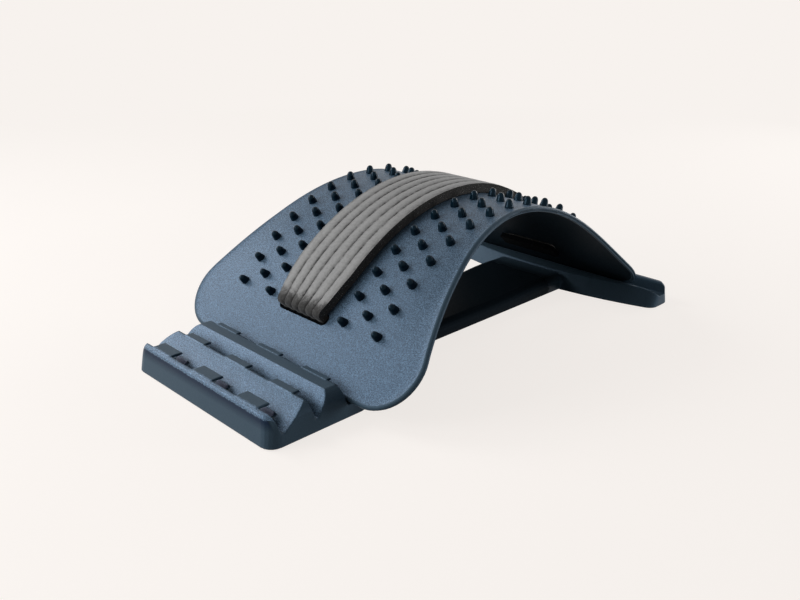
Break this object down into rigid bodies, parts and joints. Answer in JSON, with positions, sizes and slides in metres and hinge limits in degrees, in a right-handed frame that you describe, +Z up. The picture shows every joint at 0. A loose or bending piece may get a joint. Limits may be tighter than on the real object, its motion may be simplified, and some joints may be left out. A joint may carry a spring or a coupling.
{
  "type": "back stretcher",
  "caption": "Arched lumbar stretcher: a nubbed, waisted plastic panel with a ribbed foam strip, bowed over a flat base with stepped notches at one end and a channel at the other.",
  "frame": {"origin": "centre of the footprint, on the floor plane", "axes": "+Z up; +Y along the length, from the notched block to the block with the channel; +X across the width"},
  "size_m": [0.2456, 0.3944, 0.1162],
  "materials": {
    "satin_plastic": "dark navy moulded plastic with a fine mould grain",
    "grained_plastic": "dark blue-grey moulded plastic with a speckled grain and glossy nubs",
    "ribbed_foam": "dark grey closed-cell foam, ribbed along its length",
    "foot_rubber": "black anti-slip rubber"
  },
  "bodies": {
    "base": {"base": "satin_plastic", "foot_pad_near_left": "foot_rubber", "foot_pad_near_right": "foot_rubber", "foot_pad_far_left": "foot_rubber", "foot_pad_far_right": "foot_rubber"},
    "arch": {"arch_panel": "grained_plastic", "foam_pad": "ribbed_foam"}
  },
  "joints": [
    {"name": "arch_swing", "type": "hinge", "parent": "base", "child": "arch", "pos_m": [0, 0.18475, 0.0116], "axis": [-1, 0, 0], "range_deg": [0, 74]}
  ]
}
